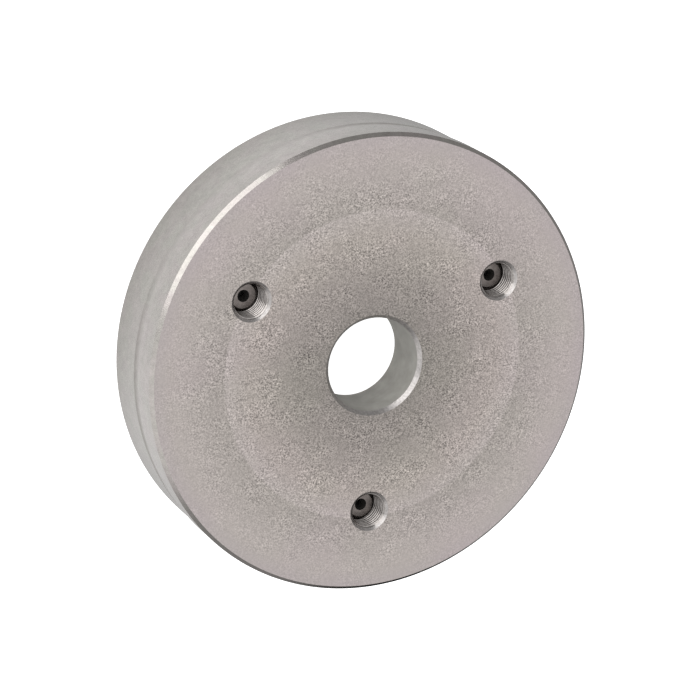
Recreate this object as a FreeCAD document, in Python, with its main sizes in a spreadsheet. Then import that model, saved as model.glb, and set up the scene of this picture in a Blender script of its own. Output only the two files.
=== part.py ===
import FreeCAD, Part
import os
import re

import Sketcher

# Chuck adapter plate for a size 4 cam-lock spindle nose, plain on the chuck side.
# Every piece is turned, so each one is a profile revolved about its own axis, then drilled or milled.
# The origin is on the plate's axis, in the face that seats on the spindle.
# +Z points out of the plain face that the chuck is fitted to, and the studs reach down along -Z.

# Driving dimensions, in millimetres
SIZES = {
    # plate
    "plate_diameter": 127.0,
    "plate_thickness": 28.0,
    "front_edge_chamfer": 1.0,
    "rear_edge_chamfer": 0.8,
    # the front part of the rim stands a little proud of the rest, and a long shallow flank leads down behind it
    "flank_start": 9.2,
    "flank_end": 12.2,
    "flank_depth": 0.3,
    # bore
    "bore_diameter": 26.0,
    "bore_front_chamfer": 1.0,
    "bore_rear_chamfer": 0.5,
    # short taper socket that centres the plate on the spindle nose
    "socket_diameter": 63.513,
    "socket_depth": 11.5,
    "socket_taper_ratio": 4.0,
    "socket_mouth_chamfer": 0.6,
    "socket_relief_width": 2.0,
    "socket_relief_depth": 0.6,
    # stud holes
    "stud_circle": 82.55,
    "stud_thread_diameter": 10.0,
    "stud_hole_front_chamfer": 0.6,
    "stud_recess_clearance": 0.2,
    "stud_recess_depth": 8.0,
    "stud_recess_chamfer": 0.5,
    # cam-lock stud
    "stud_diameter": 16.3,
    "stud_projection": 27.0,
    "stud_seat_depth": 7.3,
    "stud_end_sunk": 6.0,
    "stud_tip_chamfer": 1.0,
    "stud_ring_width": 0.6,
    "stud_ring_depth": 0.4,
    "stud_end_flat_diameter": 6.9,
    "centre_hole_diameter": 3.35,
    "centre_pilot_diameter": 1.6,
    "centre_pilot_depth": 3.4,
    "notch_radius": 8.6,
    "notch_depth": 6.5,
    "notch_from_face": 14.6,
    # locking screw beside each stud
    "lock_spacing": 11.2,
    "lock_head_diameter": 8.5,
    "lock_head_height": 5.0,
    "lock_head_sunk": 2.0,
    "lock_head_clearance": 0.25,
    "lock_groove_clearance": 0.15,
    "lock_groove_run_out": 9.5,
    "lock_thread_diameter": 5.0,
    "lock_thread_length": 12.0,
    "lock_hole_spare": 2.0,
    "lock_key_width": 4.0,
    "lock_key_depth": 2.5,
}

STUD_COUNT = 3
FIRST_STUD_ANGLE = 30
FULL_TURN = 360
CENTRE_HALF_ANGLE = 30
HEXAGON_SIDE_COUNT = 6


def in_sheet(expression):
    """The expression, with the name of each size turned into a reference to its cell."""
    return re.sub(r"[a-z]\w*", lambda word: "Sizes." + word[0] if word[0] in SIZES else word[0], expression)


def make_sheet(doc):
    """One row for each driving dimension: its name, then its value under the same alias."""
    sheet = doc.addObject("Spreadsheet::Sheet", "Sizes")
    for row, (name, value) in enumerate(SIZES.items(), start=1):
        sheet.set(f"A{row}", name)
        sheet.set(f"B{row}", str(value))
        sheet.setAlias(f"B{row}", name)
    doc.recompute()


def make_body(doc, name):
    body = doc.addObject("PartDesign::Body", name)
    body.Label = name
    return body


def place(body, base, angle):
    """Moves the body's own origin to base and turns it by angle, in degrees, about +Z."""
    body.Placement = FreeCAD.Placement(FreeCAD.Vector(), FreeCAD.Rotation(FreeCAD.Vector(0, 0, 1), angle))
    for axis, expression in zip("xyz", base):
        body.setExpression("Placement.Base." + axis, in_sheet(expression))


def around(radial, sideways, angle):
    """X and Y of a point that is radial out along the direction at angle, and sideways clockwise from it."""
    return (
        f"({radial}) * cos({angle} deg) + ({sideways}) * sin({angle} deg)",
        f"({radial}) * sin({angle} deg) - ({sideways}) * cos({angle} deg)",
    )


def attach(body, item, role, lift="0"):
    """Puts a sketch or primitive on one of the body's own origin planes, lifted along the plane's normal."""
    plane = next(found for found in body.Origin.OriginFeatures if found.Role == role)
    item.AttachmentSupport = (plane, [""])
    item.MapMode = "FlatFace"
    item.setExpression("AttachmentOffset.Base.z", in_sheet(lift))


def sketch_on(body, name, role, lift="0"):
    sketch = body.newObject("Sketcher::SketchObject", name)
    attach(body, sketch, role, lift)
    return sketch


def value_of(sketch, expression):
    return float(FreeCAD.Units.Quantity(sketch.evalExpression(in_sheet(expression))))


def hold(sketch, kind, geometry, point, expression):
    """Ties a point of the sketch to the origin across or up, at the distance that the expression gives."""
    distance = value_of(sketch, expression)
    number = sketch.addConstraint(Sketcher.Constraint(kind, -1, 1, geometry, point, distance))
    sketch.setExpression(f"Constraints[{number}]", in_sheet(expression))


def outline(sketch, corners):
    """A closed outline of straight edges through corners, each given as how far across and how far up."""
    places = [FreeCAD.Vector(value_of(sketch, across), value_of(sketch, up)) for across, up in corners]
    for start, end in zip(places, places[1:] + places[:1]):
        sketch.addGeometry(Part.LineSegment(start, end))
    for edge, (across, up) in enumerate(corners):
        before = (edge - 1) % len(corners)
        sketch.addConstraint(Sketcher.Constraint("Coincident", before, 2, edge, 1))
        hold(sketch, "DistanceX", edge, 1, across)
        hold(sketch, "DistanceY", edge, 1, up)


def upright_axis(sketch, across, top):
    """A construction line from the sketch's base up to top, for turning a profile about."""
    x = value_of(sketch, across)
    height = value_of(sketch, top)
    line = sketch.addGeometry(Part.LineSegment(FreeCAD.Vector(x, 0), FreeCAD.Vector(x, height)), True)
    for point, up in ((1, "0"), (2, top)):
        hold(sketch, "DistanceX", line, point, across)
        hold(sketch, "DistanceY", line, point, up)


def circle(sketch, across, up, radius):
    centre = FreeCAD.Vector(value_of(sketch, across), value_of(sketch, up))
    size = value_of(sketch, radius)
    ring = sketch.addGeometry(Part.Circle(centre, FreeCAD.Vector(0, 0, 1), size))
    hold(sketch, "DistanceX", ring, 3, across)
    hold(sketch, "DistanceY", ring, 3, up)
    number = sketch.addConstraint(Sketcher.Constraint("Radius", ring, size))
    sketch.setExpression(f"Constraints[{number}]", in_sheet(radius))


def turn(body, name, corners):
    """Revolves a half section, given as radius and height, about the body's +Z axis."""
    sketch = sketch_on(body, name + "_profile", "XZ_Plane")
    outline(sketch, corners)
    solid = body.newObject("PartDesign::Revolution", name)
    solid.Profile = sketch
    solid.ReferenceAxis = (sketch, ["V_Axis"])
    solid.Angle = FULL_TURN
    body.Document.recompute()


def bore_out(body, name, across, sideways, top, steps):
    """Cuts a round hole about an upright axis. Each step is the hole's radius at a height."""
    sketch = sketch_on(body, name + "_profile", "XZ_Plane", sideways)
    section = [(across, "0"), *((f"{across} + {radius}", height) for radius, height in steps), (across, top)]
    outline(sketch, section)
    upright_axis(sketch, across, top)
    hole = body.newObject("PartDesign::Groove", name)
    hole.Profile = sketch
    hole.ReferenceAxis = (sketch, ["Axis0"])
    hole.Angle = FULL_TURN
    body.Document.recompute()
    return hole


def repeat_around(body, name, features):
    """Repeats the features evenly about the body's +Z axis, once for each stud."""
    axis = next(found for found in body.Origin.OriginFeatures if found.Role == "Z_Axis")
    pattern = body.newObject("PartDesign::PolarPattern", name)
    pattern.Originals = features
    pattern.Axis = (axis, [""])
    pattern.Angle = FULL_TURN
    pattern.Occurrences = STUD_COUNT
    body.Tip = pattern
    body.Document.recompute()


def mill(body, name, sketch, length, both_ways=False):
    """Cuts the sketch's shape out of the body, upwards or as far both ways from its plane."""
    cut = body.newObject("PartDesign::Pocket", name)
    cut.Profile = sketch
    cut.Reversed = not both_ways
    cut.Midplane = both_ways
    cut.setExpression("Length", in_sheet(length))
    body.Document.recompute()


def socket_radius(height):
    """Radius of the taper socket at a height above the spindle face."""
    return f"(socket_diameter - ({height}) / socket_taper_ratio) / 2"


def make_plate(doc):
    """The turned plate, with three stud holes bored right through and a locking screw's hole beside each."""
    body = make_body(doc, "adapter_plate")
    place(body, ("0", "0", "0"), FIRST_STUD_ANGLE)
    rim = "plate_diameter / 2"
    rear_rim = rim + " - flank_depth"
    bore = "bore_diameter / 2"
    relief_start = "socket_depth - socket_relief_width"
    relief = socket_radius(relief_start)
    turn(body, "turned_plate", [
        (bore, "socket_depth + bore_rear_chamfer"),
        (bore, "plate_thickness - bore_front_chamfer"),
        (bore + " + bore_front_chamfer", "plate_thickness"),
        (rim + " - front_edge_chamfer", "plate_thickness"),
        (rim, "plate_thickness - front_edge_chamfer"),
        (rim, "plate_thickness - flank_start"),
        (rear_rim, "plate_thickness - flank_end"),
        (rear_rim, "rear_edge_chamfer"),
        (rear_rim + " - rear_edge_chamfer", "0"),
        (socket_radius("0") + " + socket_mouth_chamfer", "0"),
        (socket_radius("socket_mouth_chamfer"), "socket_mouth_chamfer"),
        (relief, relief_start),
        (relief + " + socket_relief_depth", relief_start + " + socket_relief_depth"),
        (relief + " + socket_relief_depth", "socket_depth"),
        (bore + " + bore_rear_chamfer", "socket_depth"),
    ])
    recess = "stud_diameter / 2 + stud_recess_clearance"
    thread = "stud_thread_diameter / 2"
    stud_hole = bore_out(body, "stud_hole", "stud_circle / 2", "0", "plate_thickness", [
        (recess + " + stud_recess_chamfer", "0"),
        (recess, "stud_recess_chamfer"),
        (recess, "stud_recess_depth"),
        (thread, "stud_recess_depth"),
        (thread, "plate_thickness - stud_hole_front_chamfer"),
        (thread + " + stud_hole_front_chamfer", "plate_thickness"),
    ])
    head_recess = "lock_head_diameter / 2 + lock_head_clearance"
    head_seat = "lock_head_sunk + lock_head_height"
    lock_thread = "lock_thread_diameter / 2"
    drilled = head_seat + " + lock_thread_length + lock_hole_spare"
    lock_hole = bore_out(body, "lock_hole", "stud_circle / 2", "lock_spacing", drilled, [
        (head_recess, "0"),
        (head_recess, head_seat),
        (lock_thread, head_seat),
        (lock_thread, drilled),
    ])
    repeat_around(body, "holes_for_studs", [stud_hole, lock_hole])
    return body


def make_stud(doc, name, angle):
    """A cam-lock stud, turned with its tip at its own origin, its cam notch on one side and lock groove opposite."""
    body = make_body(doc, name)
    place(body, (*around("stud_circle / 2", "0", angle), "-stud_projection"), angle)
    shank = "stud_diameter / 2"
    thread = "stud_thread_diameter / 2"
    flat = "stud_end_flat_diameter / 2"
    face = "stud_projection"
    shoulder = "stud_projection + stud_seat_depth"
    end = "stud_projection + plate_thickness - stud_end_sunk"
    cone = f"(centre_hole_diameter - centre_pilot_diameter) / 2 / tan({CENTRE_HALF_ANGLE} deg)"
    pilot = "centre_pilot_diameter / 2"
    turn(body, "turned_stud", [
        ("0", "0"),
        (shank + " - stud_tip_chamfer", "0"),
        (shank, "stud_tip_chamfer"),
        (shank, face + " - stud_ring_width / 2"),
        (shank + " - stud_ring_depth", face + " - stud_ring_width / 2"),
        (shank + " - stud_ring_depth", face + " + stud_ring_width / 2"),
        (shank, face + " + stud_ring_width / 2"),
        (shank, shoulder),
        (thread, shoulder),
        (thread, f"{end} - {thread} + {flat}"),
        (flat, end),
        ("centre_hole_diameter / 2", end),
        (pilot, f"{end} - {cone}"),
        (pilot, end + " - centre_pilot_depth"),
        ("0", end + " - centre_pilot_depth"),
    ])
    cam_notch = sketch_on(body, "cam_notch_outline", "YZ_Plane")
    circle(cam_notch, shank + " + notch_radius - notch_depth", face + " - notch_from_face", "notch_radius")
    mill(body, "cam_notch", cam_notch, "stud_diameter * 2", both_ways=True)
    lock_groove = sketch_on(body, "lock_groove_outline", "XY_Plane", face + " - lock_groove_run_out")
    circle(lock_groove, "0", "-lock_spacing", "lock_head_diameter / 2 + lock_groove_clearance")
    mill(body, "lock_groove", lock_groove, "lock_groove_run_out + stud_seat_depth")
    return body


def make_lock_screw(doc, name, angle):
    """A socket-head screw, turned with the top of its head at its own origin. Its head keeps a stud from turning."""
    body = make_body(doc, name)
    place(body, (*around("stud_circle / 2", "lock_spacing", angle), "lock_head_sunk"), angle)
    head = "lock_head_diameter / 2"
    thread = "lock_thread_diameter / 2"
    end = "lock_head_height + lock_thread_length"
    turn(body, "turned_screw", [
        ("0", "0"),
        (head, "0"),
        (head, "lock_head_height"),
        (thread, "lock_head_height"),
        (thread, end),
        ("0", end),
    ])
    key = body.newObject("PartDesign::SubtractivePrism", "key_socket")
    attach(body, key, "XY_Plane")
    key.Polygon = HEXAGON_SIDE_COUNT
    key.setExpression("Circumradius", in_sheet("lock_key_width / sqrt(3)"))
    key.setExpression("Height", in_sheet("lock_key_depth"))
    doc.recompute()
    return body


def check(doc, bodies):
    """Stops with a plain message if any feature failed or a body is empty or not a sound single solid."""
    failed = [item.Name for item in doc.Objects if "Invalid" in item.State or "Error" in item.State]
    if failed:
        raise RuntimeError("these features failed: " + ", ".join(failed))
    for body in bodies:
        shape = body.Shape
        if shape.isNull() or not shape.isValid() or len(shape.Solids) != 1:
            raise RuntimeError(body.Label + " isn't one valid solid")


document = FreeCAD.newDocument("chuck_adapter_plate")
make_sheet(document)
pieces = [make_plate(document)]
for number in range(STUD_COUNT):
    stud_angle = FIRST_STUD_ANGLE + FULL_TURN / STUD_COUNT * number
    pieces.append(make_stud(document, f"cam_stud_{number + 1}", stud_angle))
    pieces.append(make_lock_screw(document, f"lock_screw_{number + 1}", stud_angle))
document.recompute()
check(document, pieces)

os.makedirs("parts", exist_ok=True)
for piece in pieces:
    piece.Shape.exportStep(f"parts/{piece.Label}.step")
    print(piece.Label, "volume", round(piece.Shape.Volume, 1), "mm3")
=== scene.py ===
import math

import bmesh
import bpy
from mathutils import Matrix, Vector


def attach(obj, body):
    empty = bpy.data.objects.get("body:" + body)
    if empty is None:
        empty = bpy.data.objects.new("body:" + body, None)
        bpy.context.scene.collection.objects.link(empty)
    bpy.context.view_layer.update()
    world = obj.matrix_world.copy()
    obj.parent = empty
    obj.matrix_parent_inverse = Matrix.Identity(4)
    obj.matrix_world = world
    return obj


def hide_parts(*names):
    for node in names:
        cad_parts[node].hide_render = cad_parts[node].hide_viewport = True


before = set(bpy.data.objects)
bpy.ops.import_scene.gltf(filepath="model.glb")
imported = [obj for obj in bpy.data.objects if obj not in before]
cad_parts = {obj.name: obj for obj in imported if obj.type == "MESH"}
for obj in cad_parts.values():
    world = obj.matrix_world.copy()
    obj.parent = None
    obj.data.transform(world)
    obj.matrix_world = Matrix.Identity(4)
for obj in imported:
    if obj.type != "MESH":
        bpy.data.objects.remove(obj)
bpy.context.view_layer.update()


# The plate: one disc of grey cast iron, 127 mm across, turned all over, with a through bore, three tapped
# holes for the studs and a taper socket behind. The chuck side is faced in two cuts that meet at a faint
# step, and the tool tears the iron a little more towards the bore, where it runs slowest.

# Sizes are in millimetres, and MM turns them into Blender's metres. SPARE is how far a cutting shape reaches
# past what it cuts.
MM = 0.001
PLATE_COLUMNS = 360
HOLE_COLUMNS = 96
CRISP_ANGLE = math.radians(40)
SPARE = 1.0

PLATE_RADIUS = 63.5
PLATE_THICKNESS = 28.0
FRONT_CHAMFER = 1.0
REAR_CHAMFER = 0.8
FLANK_START = 9.2
FLANK_END = 12.2
FLANK_DEPTH = 0.3
BORE_RADIUS = 13.0
BORE_FRONT_CHAMFER = 1.0
BORE_REAR_CHAMFER = 0.5

SOCKET_RADIUS = 31.7565
SOCKET_TAPER = 1 / 4
SOCKET_DEPTH = 11.5
SOCKET_MOUTH_CHAMFER = 0.6
RELIEF_WIDTH = 2.0
RELIEF_DEPTH = 0.6

STUD_COUNT = 3
FIRST_STUD_ANGLE = math.radians(30)
STUD_CIRCLE_RADIUS = 41.275
STUD_THREAD_RADIUS = 5.0
STUD_THREAD_PITCH = 1.0
HOLE_MOUTH_CHAMFER = 0.6
RECESS_RADIUS = 8.35
RECESS_DEPTH = 8.0
RECESS_CHAMFER = 0.5
LOCK_SPACING = 11.2
LOCK_HEAD_RADIUS = 4.5
LOCK_HEAD_DEPTH = 7.0
LOCK_HOLE_RADIUS = 2.5
LOCK_HOLE_DEPTH = 21.0


def turned(profile, columns, shape=None, ring=False):
    """Mesh of a half section in mm, a list of (radius, height), turned about +Z.

    The section starts and ends at the axis, or is closed in itself where ring is true. For threads and
    knurls, shape gives a point's radius from its own radius, its height and its angle.
    """
    mesh = bmesh.new()
    rows = []
    for radius, height in profile:
        if radius == 0:
            rows.append([mesh.verts.new((0, 0, height * MM))] * columns)
            continue
        row = []
        for column in range(columns):
            angle = math.tau * column / columns
            reach = shape(radius, height, angle) if shape else radius
            point = Vector((reach * math.cos(angle), reach * math.sin(angle), height))
            row.append(mesh.verts.new(point * MM))
        rows.append(row)
    pairs = list(zip(rows, rows[1:]))
    if ring:
        pairs.append((rows[-1], rows[0]))
    for below, above in pairs:
        for column in range(columns):
            after = (column + 1) % columns
            corners = (below[column], below[after], above[after], above[column])
            mesh.faces.new(list(dict.fromkeys(corners)))
    bmesh.ops.recalc_face_normals(mesh, faces=mesh.faces)
    return mesh


def piece(name, mesh, place=Matrix()):
    """Object of that mesh, with the place in the mesh, so that the object itself sits at the origin."""
    data = bpy.data.meshes.new(name)
    mesh.transform(place)
    mesh.to_mesh(data)
    mesh.free()
    thing = bpy.data.objects.new(name, data)
    bpy.context.scene.collection.objects.link(thing)
    return thing


def cut(thing, tools):
    """Takes the tools' shapes out of the thing, and puts the result in its mesh."""
    for tool in tools:
        modifier = thing.modifiers.new("cut", "BOOLEAN")
        modifier.operation = "DIFFERENCE"
        modifier.solver = "EXACT"
        modifier.object = tool
    depsgraph = bpy.context.evaluated_depsgraph_get()
    result = bpy.data.meshes.new_from_object(thing.evaluated_get(depsgraph))
    thing.modifiers.clear()
    spent = thing.data
    thing.data = result
    bpy.data.meshes.remove(spent)
    for tool in tools:
        bpy.data.objects.remove(tool)


def finish_edges(thing):
    """Smooth shading, with the sharper edges kept crisp."""
    thing.data.polygons.foreach_set("use_smooth", [True] * len(thing.data.polygons))
    thing.data.set_sharp_from_angle(angle=CRISP_ANGLE)
    thing.data.update()


def around(radial, sideways, number):
    """Place and turn of something at that stud, so far out along its direction and clockwise from it."""
    turn = Matrix.Rotation(FIRST_STUD_ANGLE + math.tau / STUD_COUNT * number, 4, "Z")
    return turn @ Matrix.Translation(Vector((radial, -sideways, 0)) * MM)


def steps(start, end, count):
    """Heights from start to end in count equal steps, both ends included."""
    return [start + (end - start) * step / count for step in range(count + 1)]


# Where the turns of a thread start, and how much of each turn its rounded crest and its flanks take up.
THREAD_START = 0.15
CREST_SHARE = 0.22
FLANK_SHARE = 0.68


def thread_depth(height, angle, pitch):
    """How deep a 60 degree thread is cut at that height and angle, from 0 at its crest to 1 at its root."""
    turn = (height / pitch - angle / math.tau + THREAD_START) % 1
    from_crest = abs(turn - 0.5) * 2
    share = min(max((from_crest - CREST_SHARE) / FLANK_SHARE, 0), 1)
    return share * share * (3 - 2 * share)


def socket_radius(height):
    """The taper socket's radius at that height above the back."""
    return SOCKET_RADIUS - height * SOCKET_TAPER / 2


rear_radius = PLATE_RADIUS - FLANK_DEPTH
relief_start = SOCKET_DEPTH - RELIEF_WIDTH
relief_radius = socket_radius(relief_start) + RELIEF_DEPTH
plate_profile = [
    (BORE_RADIUS, SOCKET_DEPTH + BORE_REAR_CHAMFER),
    (BORE_RADIUS, PLATE_THICKNESS - BORE_FRONT_CHAMFER),
    (BORE_RADIUS + BORE_FRONT_CHAMFER, PLATE_THICKNESS),
    (PLATE_RADIUS - FRONT_CHAMFER, PLATE_THICKNESS),
    (PLATE_RADIUS, PLATE_THICKNESS - FRONT_CHAMFER),
    (PLATE_RADIUS, PLATE_THICKNESS - FLANK_START),
    (rear_radius, PLATE_THICKNESS - FLANK_END),
    (rear_radius, REAR_CHAMFER),
    (rear_radius - REAR_CHAMFER, 0),
    (SOCKET_RADIUS + SOCKET_MOUTH_CHAMFER, 0),
    (socket_radius(SOCKET_MOUTH_CHAMFER), SOCKET_MOUTH_CHAMFER),
    (socket_radius(relief_start), relief_start),
    (relief_radius, relief_start + RELIEF_DEPTH),
    (relief_radius, SOCKET_DEPTH),
    (BORE_RADIUS + BORE_REAR_CHAMFER, SOCKET_DEPTH),
]
plate = piece("plate", turned(plate_profile, PLATE_COLUMNS, ring=True))

# The holes are threaded only as far down as they can be seen, to a little below the stud's end.
THREAD_SHOWN = 7.5
THREAD_ROWS_PER_MM = 20
FEMALE_THREAD_DEPTH = 0.48
thread_bottom = PLATE_THICKNESS - THREAD_SHOWN
thread_rows = steps(thread_bottom, PLATE_THICKNESS, round(THREAD_SHOWN * THREAD_ROWS_PER_MM))


def tapped(radius, height, angle):
    """The hole's radius where it is tapped, opened out by the chamfer at its mouth."""
    if radius != STUD_THREAD_RADIUS or height < thread_bottom:
        return radius
    depth = thread_depth(height, angle, STUD_THREAD_PITCH)
    mouth = STUD_THREAD_RADIUS + HOLE_MOUTH_CHAMFER - (PLATE_THICKNESS - height)
    return max(STUD_THREAD_RADIUS - FEMALE_THREAD_DEPTH * (1 - depth), mouth)


stud_hole_profile = [
    (0, -SPARE),
    (RECESS_RADIUS + RECESS_CHAMFER + SPARE, -SPARE),
    (RECESS_RADIUS, RECESS_CHAMFER),
    (RECESS_RADIUS, RECESS_DEPTH),
    (STUD_THREAD_RADIUS, RECESS_DEPTH),
    (STUD_THREAD_RADIUS, thread_bottom - SPARE / 2),
    *((STUD_THREAD_RADIUS, height) for height in thread_rows),
    (STUD_THREAD_RADIUS + HOLE_MOUTH_CHAMFER + SPARE, PLATE_THICKNESS + SPARE),
    (0, PLATE_THICKNESS + SPARE),
]
lock_hole_profile = [
    (0, -SPARE),
    (LOCK_HEAD_RADIUS, -SPARE),
    (LOCK_HEAD_RADIUS, LOCK_HEAD_DEPTH),
    (LOCK_HOLE_RADIUS, LOCK_HEAD_DEPTH),
    (LOCK_HOLE_RADIUS, LOCK_HOLE_DEPTH),
    (0, LOCK_HOLE_DEPTH),
]
hole_tools = []
for number in range(STUD_COUNT):
    stud_hole = turned(stud_hole_profile, HOLE_COLUMNS, tapped)
    lock_hole = turned(lock_hole_profile, HOLE_COLUMNS)
    hole_tools.append(piece("stud_hole", stud_hole, around(STUD_CIRCLE_RADIUS, 0, number)))
    hole_tools.append(piece("lock_hole", lock_hole, around(STUD_CIRCLE_RADIUS, LOCK_SPACING, number)))
cut(plate, hole_tools)
finish_edges(plate)


def linear(code):
    """The linear colour of an sRGB hex value."""
    parts = [int(code[start:start + 2], 16) / 255 for start in (1, 3, 5)]
    return [part / 12.92 if part <= 0.04045 else ((part + 0.055) / 1.055) ** 2.4 for part in parts] + [1]


def material(name):
    """A new node material, with its node tree and its surface shader."""
    made = bpy.data.materials.new(name)
    made.use_nodes = True
    return made, made.node_tree, made.node_tree.nodes["Principled BSDF"]


def feed(tree, node, inputs):
    """Sets a node's inputs, by name or in its sockets' order, to values or to other nodes' outputs."""
    for socket, value in (inputs.items() if isinstance(inputs, dict) else enumerate(inputs)):
        if isinstance(value, bpy.types.NodeSocket):
            tree.links.new(value, node.inputs[socket])
        else:
            node.inputs[socket].default_value = value


def add(tree, kind, inputs=(), **settings):
    """Adds a node with its settings and its inputs, as feed takes them."""
    node = tree.nodes.new(kind)
    for name, value in settings.items():
        setattr(node, name, value)
    feed(tree, node, inputs)
    return node


# A mix node has a set of sockets for each kind of value, with the same names, so those for colours go by
# their numbers here. A vector math node scales by its fourth socket.
SHARE, FIRST, SECOND, MIXED = 0, 6, 7, 2
SCALE_BY = 3

# Between these values of the cloud noise, one tint gives way to the other.
CLOUD_EDGES = (0.4, 0.6)


def zoned(tree, position, first, zones):
    """A tone that changes along a position, from the first tone through those of the zones.

    A zone gives the place in mm where its tone starts to show, the place where it is full, and the tone.
    """
    tone = linear(first)
    for start, full, code in zones:
        share = add(tree, "ShaderNodeMapRange", (position, start * MM, full * MM)).outputs[0]
        sockets = {SHARE: share, FIRST: tone, SECOND: linear(code)}
        tone = add(tree, "ShaderNodeMix", sockets, data_type="RGBA").outputs[MIXED]
    return tone


def tinted(tree, tone, cloud, tints):
    """The tone, multiplied by a tint that drifts between two, as the cloud noise does."""
    share = add(tree, "ShaderNodeMapRange", (cloud, *CLOUD_EDGES)).outputs[0]
    sockets = {SHARE: share, FIRST: tints[0], SECOND: tints[1]}
    tint = add(tree, "ShaderNodeMix", sockets, data_type="RGBA").outputs[MIXED]
    return add(tree, "ShaderNodeVectorMath", (tone, tint), operation="MULTIPLY").outputs[0]


# Faced cast iron: a dull, slightly pink grey, darker towards the bore. The tool drags flakes of graphite
# out of it, which leaves a speckle of pits, mixed with painted glints, in drifting clusters, all but gone
# at the rim, where the cut runs fastest. Real flakes are too fine to show, so they are drawn at 0.38 and
# 0.7 mm.
FACED_AT_BORE = "#8e8984"
FACED_TONES = (
    (14, 20, "#96908b"),
    (22, 36, "#aba39e"),
    (36, 42.4, "#b2aaa7"),
    (42.6, 43.2, "#a7a09c"),
    (44, 56, "#b3aba8"),
    (58, 62, "#b2aaa9"),
)
FACED_TINTS = ((1.005, 0.994, 1.005, 1), (0.99, 0.998, 0.985, 1))
FACED_ROUGHNESS = 0.5

# Size in mm and detail of the noises for the pits, the painted glints, their clusters and the clouds of
# tint.
FACED_NOISES = ((0.38, 1), (0.7, 2), (7.0, 3), (24.0, 2))

# The range of each noise that shows, and how dark or light, or for the clusters how strong, it turns out.
PITS = (0.25, 0.75, -0.45, 0.45)
# The light specks are painted glints.
PAINTED_GLINTS = (0.55, 0.75, 0.0, 0.35)
CLUSTERS = (0.35, 0.65, 0.5, 1.33)

# Two radii in mm between which the speckle changes, and how strong it is inside and outside them.
SPECKLE_FADES = ((48, 60, 1.0, 0.35), (33, 39, 1.2, 0.97))

faced_iron, tree, shader = material("faced_cast_iron")
place = add(tree, "ShaderNodeTexCoord").outputs["Object"]
split = add(tree, "ShaderNodeSeparateXYZ", (place,))
flat = add(tree, "ShaderNodeCombineXYZ", (split.outputs["X"], split.outputs["Y"])).outputs[0]
radius = add(tree, "ShaderNodeVectorMath", (flat,), operation="LENGTH").outputs["Value"]
noises = []
for size, detail in FACED_NOISES:
    sockets = {"Vector": place, "Scale": 1 / (size * MM), "Detail": detail}
    noises.append(add(tree, "ShaderNodeTexNoise", sockets).outputs[0])
pit, painted_glint_noise, cluster, cloud = noises
pits = add(tree, "ShaderNodeMapRange", (pit, *PITS)).outputs[0]
# Painted glints brighten the speckle.
painted_glints = add(tree, "ShaderNodeMapRange", (painted_glint_noise, *PAINTED_GLINTS)).outputs[0]
speckle = add(tree, "ShaderNodeMath", (pits, painted_glints), operation="ADD").outputs[0]
strength = add(tree, "ShaderNodeMapRange", (cluster, *CLUSTERS)).outputs[0]
for inner, outer, inside, outside in SPECKLE_FADES:
    factor = add(tree, "ShaderNodeMapRange", (radius, inner * MM, outer * MM, inside, outside)).outputs[0]
    strength = add(tree, "ShaderNodeMath", (strength, factor), operation="MULTIPLY").outputs[0]
speckle = add(tree, "ShaderNodeMath", (speckle, strength, 1.0), operation="MULTIPLY_ADD").outputs[0]
tone = zoned(tree, radius, FACED_AT_BORE, FACED_TONES)
tone = tinted(tree, tone, cloud, FACED_TINTS)
tone = add(tree, "ShaderNodeVectorMath", {0: tone, SCALE_BY: speckle}, operation="SCALE").outputs[0]
feed(tree, shader, {"Base Color": tone, "Metallic": 1, "Roughness": FACED_ROUGHNESS})

# Turned cast iron: the rim, the chamfers and the back, cut finer and cleaner than the face, so smoother and
# brighter, with a faint mottle. The rear part, cut apart from the front, is a little darker, and painted
# shade darkens it further towards the back. Where the tool was drawn back, the flank grows rough up to a
# crisp line, with painted shade on it; both hardly show on the side where the flank mirrors bright light.
# The grit is drawn at 0.45 mm, coarser than it is, so that it shows.
# The tone at the back carries painted shade, which fades out up to the first zone's end.
TURNED_SHADED_AT_BACK = "#9d9995"
TURNED_TONES = ((2, 13, "#aaa6a2"), (14.5, 19, "#b3aeab"))
TURNED_TINTS = ((1.01, 0.993, 0.995, 1), (0.985, 1.0, 0.975, 1))
TURNED_ROUGHNESS = 0.27

# How far the borders of the tones wander up and down the rim.
WANDER = 1.5

# The torn part of the flank: its heights at the crisp line and where it fades out, its painted shade and
# roughness, then the side where it hardly shows, as the flank mirrors bright light there, how squarely the
# rim has to face that side, and what is left there.
TORN_SHADE_LINE = (14.3, 14.9)
TORN_SHADE_FADE = (15.2, 18.8)
TORN_PAINTED_SHADE = 0.93
TORN_ROUGHNESS = 0.55
UNSHADED_SIDE = (-0.602, 0.799, 0)
UNSHADED_SPREAD = (0.71, 0.95)
UNSHADED_LEFT = 0.15

# Size in mm, detail and roughness of the noises for the clouds of tint, the mottle and the grit.
TURNED_NOISES = ((6.0, 2, 0.5), (2.5, 5, 0.75), (0.45, 2, 0.5))

# The range of each noise that shows, and how dark or light it turns out, then the size of the grit's bumps.
MOTTLE = (0.3, 0.7, 0.88, 1.12)
GRAINS = (0.3, 0.7, 0.93, 1.07)
GRIT_HEIGHT = 0.03
GRIT_STRENGTH = 0.5

turned_iron, tree, shader = material("turned_cast_iron")
place = add(tree, "ShaderNodeTexCoord").outputs["Object"]
split = add(tree, "ShaderNodeSeparateXYZ", (place,))
height = split.outputs["Z"]
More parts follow.
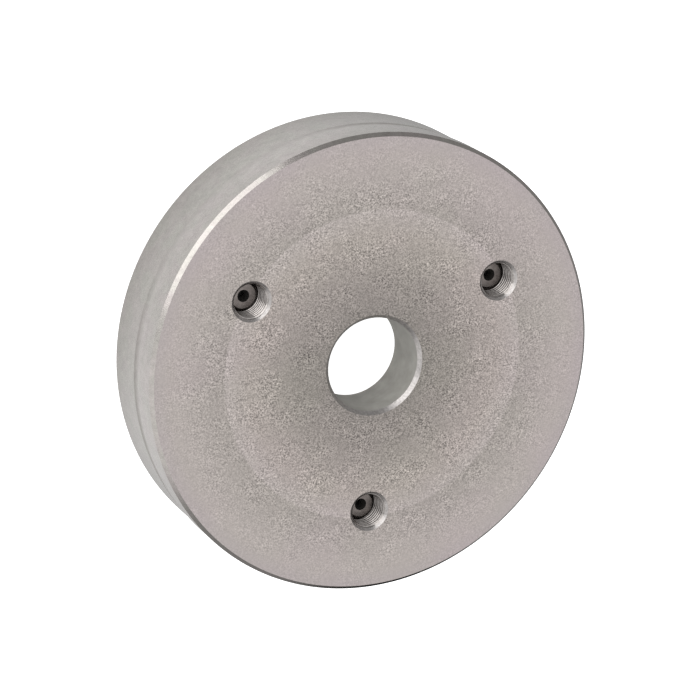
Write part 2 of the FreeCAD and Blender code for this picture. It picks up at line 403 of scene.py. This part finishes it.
# The torn flank's mask carries both its roughness and its painted shade.
torn_and_shaded = add(tree, "ShaderNodeMapRange", (height, *(edge * MM for edge in TORN_SHADE_LINE))).outputs[0]
eased = add(tree, "ShaderNodeMapRange", (height, *(edge * MM for edge in TORN_SHADE_FADE), 1.0, 0.0)).outputs[0]
flat = add(tree, "ShaderNodeCombineXYZ", (split.outputs["X"], split.outputs["Y"])).outputs[0]
unit = add(tree, "ShaderNodeVectorMath", (flat,), operation="NORMALIZE").outputs[0]
facing = add(tree, "ShaderNodeVectorMath", (unit, UNSHADED_SIDE), operation="DOT_PRODUCT").outputs["Value"]
shown = add(tree, "ShaderNodeMapRange", (facing, *UNSHADED_SPREAD, 1.0, UNSHADED_LEFT)).outputs[0]
for factor in (eased, shown):
    torn_and_shaded = add(tree, "ShaderNodeMath", (torn_and_shaded, factor), operation="MULTIPLY").outputs[0]
noises = []
for size, detail, roughness in TURNED_NOISES:
    sockets = {"Vector": place, "Scale": 1 / (size * MM), "Detail": detail, "Roughness": roughness}
    noises.append(add(tree, "ShaderNodeTexNoise", sockets).outputs[0])
cloud, mottle, grit = noises
shift = add(tree, "ShaderNodeMapRange", (cloud, 0, 1, -WANDER * MM, WANDER * MM)).outputs[0]
wandering = add(tree, "ShaderNodeMath", (height, shift), operation="ADD").outputs[0]
tone = zoned(tree, wandering, TURNED_SHADED_AT_BACK, TURNED_TONES)
tone = tinted(tree, tone, cloud, TURNED_TINTS)
brightness = add(tree, "ShaderNodeMapRange", (mottle, *MOTTLE)).outputs[0]
grains = add(tree, "ShaderNodeMapRange", (grit, *GRAINS)).outputs[0]
# Painted shade on the torn flank.
flank_painted_shade = add(tree, "ShaderNodeMapRange", (torn_and_shaded, 0, 1, 1.0, TORN_PAINTED_SHADE)).outputs[0]
for factor in (grains, flank_painted_shade):
    brightness = add(tree, "ShaderNodeMath", (brightness, factor), operation="MULTIPLY").outputs[0]
tone = add(tree, "ShaderNodeVectorMath", {0: tone, SCALE_BY: brightness}, operation="SCALE").outputs[0]
rough = add(tree, "ShaderNodeMapRange", (torn_and_shaded, 0, 1, TURNED_ROUGHNESS, TORN_ROUGHNESS)).outputs[0]
sockets = {"Strength": GRIT_STRENGTH, "Distance": GRIT_HEIGHT * MM, "Height": grit}
ridges = add(tree, "ShaderNodeBump", sockets).outputs[0]
feed(tree, shader, {"Base Color": tone, "Metallic": 1, "Roughness": rough, "Normal": ridges})


# Between these values of its noise, one colour of a spotted metal gives way to the other. The deepest
# painted shade is how dark it gets down in a hole.
SPOT_EDGES = (0.3, 0.7)
DEEPEST_PAINTED_SHADE = 0.75


def spotted(name, spot, dark, light, roughness, metallic=1, shade_depths=None):
    """A material whose tone drifts between two colours, in spots of that size in mm.

    Where a lower and an upper height in mm are given, painted shade darkens the tone from the upper
    to the lower.
    """
    made, tree, shader = material(name)
    place = add(tree, "ShaderNodeTexCoord").outputs["Object"]
    sockets = {"Vector": place, "Scale": 1 / (spot * MM), "Detail": 4}
    drift = add(tree, "ShaderNodeTexNoise", sockets).outputs[0]
    share = add(tree, "ShaderNodeMapRange", (drift, *SPOT_EDGES)).outputs[0]
    sockets = {SHARE: share, FIRST: linear(dark), SECOND: linear(light)}
    tone = add(tree, "ShaderNodeMix", sockets, data_type="RGBA").outputs[MIXED]
    # Painted shade: the tone darkens down towards the lower height.
    if shade_depths:
        lower, upper = (depth * MM for depth in shade_depths)
        height = add(tree, "ShaderNodeSeparateXYZ", (place,)).outputs["Z"]
        depth_shade = add(tree, "ShaderNodeMapRange", (height, lower, upper, DEEPEST_PAINTED_SHADE, 1.0)).outputs[0]
        tone = add(tree, "ShaderNodeVectorMath", {0: tone, SCALE_BY: depth_shade}, operation="SCALE").outputs[0]
    feed(tree, shader, {"Base Color": tone, "Metallic": metallic, "Roughness": roughness})
    return made


# The wall of the bore is rubbed dull by the chips, so that it scatters light more than it mirrors. The
# countersunk mouths are scraped clean and bright. The tap leaves the threads smoother but darker, and
# painted shade darkens them more deep down in the hole.
bored_iron = spotted("bored_cast_iron", 3.5, "#93918b", "#a5a39d", 0.6, metallic=0.35)
countersunk_iron = spotted("countersunk_cast_iron", 0.6, "#9c9896", "#bebab8", 0.36)
tapped_iron = spotted("tapped_cast_iron", 0.7, "#8f8a87", "#afaaa7", 0.2, shade_depths=(22.3, 25.5))

# How squarely a face has to point forward to count as flat, and how little to count as upright.
FLAT = 0.99
UPRIGHT = 0.1
stud_axes = [around(STUD_CIRCLE_RADIUS, 0, number).translation / MM for number in range(STUD_COUNT)]


def cut_finish(polygon):
    """The cast iron's finish on one face of the plate's mesh, by where it is and how it faces."""
    centre = polygon.center / MM
    across = math.hypot(centre.x, centre.y)
    from_stud = min(math.hypot(centre.x - axis.x, centre.y - axis.y) for axis in stud_axes)
    in_front = centre.z > PLATE_THICKNESS - BORE_FRONT_CHAMFER
    at_mouth = STUD_THREAD_RADIUS < from_stud < STUD_THREAD_RADIUS + SPARE
    if polygon.normal.z > FLAT and in_front:
        return faced_iron
    if in_front and (across < BORE_RADIUS + BORE_FRONT_CHAMFER or at_mouth):
        return countersunk_iron
    if from_stud < STUD_THREAD_RADIUS + HOLE_MOUTH_CHAMFER and centre.z > RECESS_DEPTH:
        return tapped_iron
    if abs(polygon.normal.z) < UPRIGHT and across < BORE_RADIUS + SPARE:
        return bored_iron
    return turned_iron


irons = [turned_iron, faced_iron, bored_iron, tapped_iron, countersunk_iron]
plate.data.materials.clear()
for iron in irons:
    plate.data.materials.append(iron)
for polygon in plate.data.polygons:
    polygon.material_index = irons.index(cut_finish(polygon))
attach(plate, "root")
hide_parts("adapter_plate")


# The cam-lock studs: turned steel, hardened to a dull grey and screwed into the plate from behind. Each has
# a notch that the spindle's cam pulls on, a ring cut round it to set its depth by, a groove down its side
# for the locking screw's head, and a centre hole in its threaded end.

STUD_COLUMNS = 72
STUD_RADIUS = 8.15
STUD_PROJECTION = 27.0
STUD_TIP_CHAMFER = 1.0
STUD_SEAT = 7.3
STUD_END = 22.0
STUD_END_FLAT = 3.45
RING_HALF_WIDTH = 0.3
RING_DEPTH = 0.4
CENTRE_MOUTH_RADIUS = 1.675
CENTRE_PILOT_RADIUS = 0.8
CENTRE_CONE_DEPTH = 1.516
CENTRE_HOLE_DEPTH = 3.4
MALE_THREAD_DEPTH = 0.58
MALE_ROWS_PER_MM = 10
THREAD_CLEARANCE = 0.03
NOTCH_RADIUS = 8.6
NOTCH_OUT = 10.25
NOTCH_HEIGHT = -14.6
GROOVE_RADIUS = 4.4
GROOVE_END = -9.5
TOOL_REACH = 10


def rod(radius, bottom, top):
    """Half section of a plain rod."""
    return [(0, bottom), (radius, bottom), (radius, top), (0, top)]


def threaded_end(radius, height, angle):
    """The stud's radius along its thread, with the end turned down to a 45 degree chamfer."""
    if radius != STUD_THREAD_RADIUS:
        return radius
    depth = thread_depth(height, angle, STUD_THREAD_PITCH)
    thread = radius - THREAD_CLEARANCE - MALE_THREAD_DEPTH * (1 - depth)
    return min(thread, STUD_END_FLAT + STUD_END - height)


male_rows = steps(STUD_SEAT, STUD_END, round((STUD_END - STUD_SEAT) * MALE_ROWS_PER_MM))
stud_profile = [
    (0, -STUD_PROJECTION),
    (STUD_RADIUS - STUD_TIP_CHAMFER, -STUD_PROJECTION),
    (STUD_RADIUS, STUD_TIP_CHAMFER - STUD_PROJECTION),
    (STUD_RADIUS, -RING_HALF_WIDTH),
    (STUD_RADIUS - RING_DEPTH, -RING_HALF_WIDTH),
    (STUD_RADIUS - RING_DEPTH, RING_HALF_WIDTH),
    (STUD_RADIUS, RING_HALF_WIDTH),
    (STUD_RADIUS, STUD_SEAT),
    *((STUD_THREAD_RADIUS, height) for height in male_rows),
    (CENTRE_MOUTH_RADIUS, STUD_END),
    (CENTRE_PILOT_RADIUS, STUD_END - CENTRE_CONE_DEPTH),
    (CENTRE_PILOT_RADIUS, STUD_END - CENTRE_HOLE_DEPTH),
    (0, STUD_END - CENTRE_HOLE_DEPTH),
]
notch_profile = rod(NOTCH_RADIUS, -TOOL_REACH, TOOL_REACH)
groove_profile = rod(GROOVE_RADIUS, GROOVE_END, TOOL_REACH)
notch_place = Matrix.Translation(Vector((0, NOTCH_OUT, NOTCH_HEIGHT)) * MM)
notch_turn = Matrix.Rotation(math.pi / 2, 4, "Y")

# Hardened steel: a smooth, dull grey, slightly warm and faintly clouded by the heat.
hardened_steel = spotted("hardened_steel", 1.4, "#766f6c", "#8d8682", 0.4)

# The centre hole is painted with shade: a black that hardly shines, for the dark of its deep, narrow cone.
centre_hole_shade = spotted("centre_hole_shade", 0.5, "#161412", "#24211e", 0.7, metallic=0)
steels = [hardened_steel, centre_hole_shade]
HAIR = 0.01
shade_bottom = STUD_END - CENTRE_HOLE_DEPTH - HAIR
shade_top = STUD_END - HAIR

for number in range(STUD_COUNT):
    spot = around(STUD_CIRCLE_RADIUS, 0, number)
    beside = around(STUD_CIRCLE_RADIUS, LOCK_SPACING, number)
    stud = piece(f"stud_{number + 1}", turned(stud_profile, STUD_COLUMNS, threaded_end), spot)
    notch = piece("notch", turned(notch_profile, HOLE_COLUMNS), spot @ notch_place @ notch_turn)
    groove = piece("groove", turned(groove_profile, HOLE_COLUMNS), beside)
    cut(stud, [notch, groove])
    finish_edges(stud)
    stud.data.materials.clear()
    for steel in steels:
        stud.data.materials.append(steel)
    axis = spot.translation
    for polygon in stud.data.polygons:
        centre = polygon.center
        inside = math.hypot(centre.x - axis.x, centre.y - axis.y) < CENTRE_MOUTH_RADIUS * MM
        # The faces of the centre hole get the painted shade.
        if inside and shade_bottom * MM < centre.z < shade_top * MM:
            polygon.material_index = steels.index(centre_hole_shade)
    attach(stud, "root")
    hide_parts(f"cam_stud_{number + 1}")


# The locking screws: small black cap screws with a knurled head and a hexagon socket, sunk into the back
# beside each stud. The head sits in the stud's groove and keeps it from turning.

HEAD_RADIUS = 4.25
HEAD_TOP = 2.0
HEAD_BASE = 7.0
HEAD_EDGE = 0.4
HEAD_EDGE_BEND = 0.3 * HEAD_EDGE
HEAD_BASE_INSET = 0.2
HEAD_BASE_HEIGHT = 0.3
KNURLS = 40
KNURL_DEPTH = 0.14
KNURL_START = 0.1
COLUMNS_PER_KNURL = 6
SCREW_ROWS = 96
SCREW_RADIUS = 2.5
SCREW_PITCH = 0.8
SCREW_THREAD_DEPTH = 0.45
SCREW_CLEARANCE = 0.02
SCREW_END = 19.0
KEY_ACROSS_FLATS = 4.0
KEY_DEPTH = 2.5
KEY_POINT = 0.8
KEY_SIDES = 6


def knurled(radius, height, angle):
    """The screw's radius: straight knurls round the head, and a thread below it."""
    if radius == HEAD_RADIUS and HEAD_TOP + HEAD_EDGE < height < HEAD_BASE:
        return radius - KNURL_DEPTH * (0.5 + 0.5 * math.cos(KNURLS * angle))
    if radius == SCREW_RADIUS and height < SCREW_END:
        depth = thread_depth(height, angle, SCREW_PITCH)
        return radius - SCREW_CLEARANCE - SCREW_THREAD_DEPTH * (1 - depth)
    return radius


screw_rows = steps(HEAD_BASE, SCREW_END - SCREW_THREAD_DEPTH, SCREW_ROWS)
screw_profile = [
    (0, HEAD_TOP),
    (HEAD_RADIUS - HEAD_EDGE, HEAD_TOP),
    (HEAD_RADIUS - HEAD_EDGE_BEND, HEAD_TOP + HEAD_EDGE_BEND),
    (HEAD_RADIUS, HEAD_TOP + HEAD_EDGE),
    (HEAD_RADIUS, HEAD_TOP + HEAD_EDGE + KNURL_START),
    (HEAD_RADIUS, HEAD_BASE - HEAD_BASE_HEIGHT),
    (HEAD_RADIUS - HEAD_BASE_INSET, HEAD_BASE),
    *((SCREW_RADIUS, height) for height in screw_rows),
    (SCREW_RADIUS - SCREW_THREAD_DEPTH * 2, SCREW_END),
    (0, SCREW_END),
]
key_reach = KEY_ACROSS_FLATS / math.sqrt(3)
key_bottom = HEAD_TOP + KEY_DEPTH
key_profile = [
    (0, HEAD_TOP - SPARE),
    (key_reach, HEAD_TOP - SPARE),
    (key_reach, key_bottom),
    (0, key_bottom + KEY_POINT),
]

# Black oxide steel: a dark grey with a low, even shine, faintly blotched by its bath.
black_oxide = spotted("black_oxide_steel", 1.2, "#2e2c2a", "#3b3937", 0.38)

for number in range(STUD_COUNT):
    spot = around(STUD_CIRCLE_RADIUS, LOCK_SPACING, number)
    screw_mesh = turned(screw_profile, KNURLS * COLUMNS_PER_KNURL, knurled)
    screw = piece(f"screw_{number + 1}", screw_mesh, spot)
    cut(screw, [piece("key", turned(key_profile, KEY_SIDES), spot)])
    finish_edges(screw)
    screw.data.materials.clear()
    screw.data.materials.append(black_oxide)
    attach(screw, "root")
    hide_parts(f"lock_screw_{number + 1}")


# The floor: a plain white sheet that the studs stand on, lit until it is all but blown out. It throws no
# light back on the plate, whose shaded sides stay as dark as if it hung free.

FLOOR_REACH = 3.0
FLOOR_HEIGHT = -0.0271
SHEET_ROUGHNESS = 0.9
SHEET_GLOW = 0.93

floor_mesh = bmesh.new()
for across, along in ((-1, -1), (1, -1), (1, 1), (-1, 1)):
    floor_mesh.verts.new((across * FLOOR_REACH, along * FLOOR_REACH, FLOOR_HEIGHT))
floor_mesh.faces.new(floor_mesh.verts)
floor = piece("floor", floor_mesh)
white_sheet, tree, shader = material("white_sheet")
feed(tree, shader, {
    "Base Color": linear("#e8e8e8"),
    "Roughness": SHEET_ROUGHNESS,
    "Emission Color": linear("#ffffff"),
    "Emission Strength": SHEET_GLOW,
})
floor.data.materials.append(white_sheet)
floor.visible_glossy = False
floor.visible_diffuse = False


# Light: a dim room with three soft panels, behind the plate, in front of it and at its left, and a dark
# card low on its right. One big softbox stands above and to the left of the camera, and the chamfers and
# the threads mirror it.

ROOM = 0.34

# A panel's direction, how squarely a ray has to face it to meet its edge and its full light, and that
# light, which is below zero for the card.
PANELS = (
    ((-0.45, 0.13, -0.87), 0.35, 0.85, 0.67),
    ((0.3, -0.2, 0.93), 0.25, 0.95, 0.755),
    ((-0.84, -0.42, 0.3), 0.79, 0.96, 0.82),
    ((0.42, -0.84, -0.34), 0.93, 0.995, -0.36),
)
SOFTBOX_WIDTH = 1.25
SOFTBOX_HEIGHT = 1.3
SOFTBOX_AWAY = 1.1
SOFTBOX_GLOW = 1.9
SOFTBOX_SIDE = Vector((-0.6, 0.56, 0.6)).normalized()

world = bpy.data.worlds.new("studio")
bpy.context.scene.world = world
world.use_nodes = True
tree = world.node_tree
direction = add(tree, "ShaderNodeTexCoord").outputs["Generated"]
glow = ROOM
for axis, edge, full, light in PANELS:
    unit = Vector(axis).normalized()
    facing = add(tree, "ShaderNodeVectorMath", (direction, unit), operation="DOT_PRODUCT").outputs["Value"]
    sockets = (facing, edge, full, 0.0, light)
    panel = add(tree, "ShaderNodeMapRange", sockets, interpolation_type="SMOOTHSTEP").outputs[0]
    glow = add(tree, "ShaderNodeMath", (glow, panel), operation="ADD").outputs[0]
feed(tree, tree.nodes["Background"], {"Color": linear("#ffffff"), "Strength": glow})
bpy.context.scene.view_settings.view_transform = "Standard"

softbox_light = bpy.data.lights.new("softbox", "AREA")
softbox_light.shape = "RECTANGLE"
softbox_light.size = SOFTBOX_WIDTH
softbox_light.size_y = SOFTBOX_HEIGHT
softbox_light.energy = SOFTBOX_GLOW * math.pi * SOFTBOX_WIDTH * SOFTBOX_HEIGHT
softbox = bpy.data.objects.new("softbox", softbox_light)
bpy.context.scene.collection.objects.link(softbox)
along = Vector((0, 0, 1)).cross(SOFTBOX_SIDE).normalized()
softbox.location = SOFTBOX_SIDE * SOFTBOX_AWAY
softbox.rotation_euler = Matrix((along, SOFTBOX_SIDE.cross(along), SOFTBOX_SIDE)).transposed().to_euler()
softbox.visible_camera = False


# The camera: it stands where the photograph was taken from, to the left of the plate's axis and above it,
# with a long lens. Its place was found from the outline, the bore and the three holes.

FRAME_PIXELS = 700
CAMERA_SIDE = math.radians(23.8)
CAMERA_RISE = math.radians(17.9)
PLATE_ROLL = math.radians(2.14)
CAMERA_DISTANCE = 0.8685
FOCAL_PIXELS = 3256.5
FACE_CENTRE_PIXELS = (-24.54, 15.48)
SENSOR_WIDTH = 36

level = math.cos(CAMERA_RISE)
roll = Matrix.Rotation(PLATE_ROLL, 3, "Z")
away = roll @ Vector((-math.sin(CAMERA_SIDE) * level, math.sin(CAMERA_RISE), math.cos(CAMERA_SIDE) * level))
right = (roll @ Vector((0, 1, 0))).cross(away).normalized()
up = away.cross(right)
lens = bpy.data.cameras.new("camera")
camera = bpy.data.objects.new("camera", lens)
bpy.context.scene.collection.objects.link(camera)
bpy.context.scene.camera = camera
camera.location = Vector((0, 0, PLATE_THICKNESS * MM)) + away * CAMERA_DISTANCE
camera.rotation_euler = Matrix((right, up, away)).transposed().to_euler()
lens.sensor_width = SENSOR_WIDTH
lens.lens = FOCAL_PIXELS / FRAME_PIXELS * SENSOR_WIDTH
lens.shift_x, lens.shift_y = (pixels / FRAME_PIXELS for pixels in FACE_CENTRE_PIXELS)
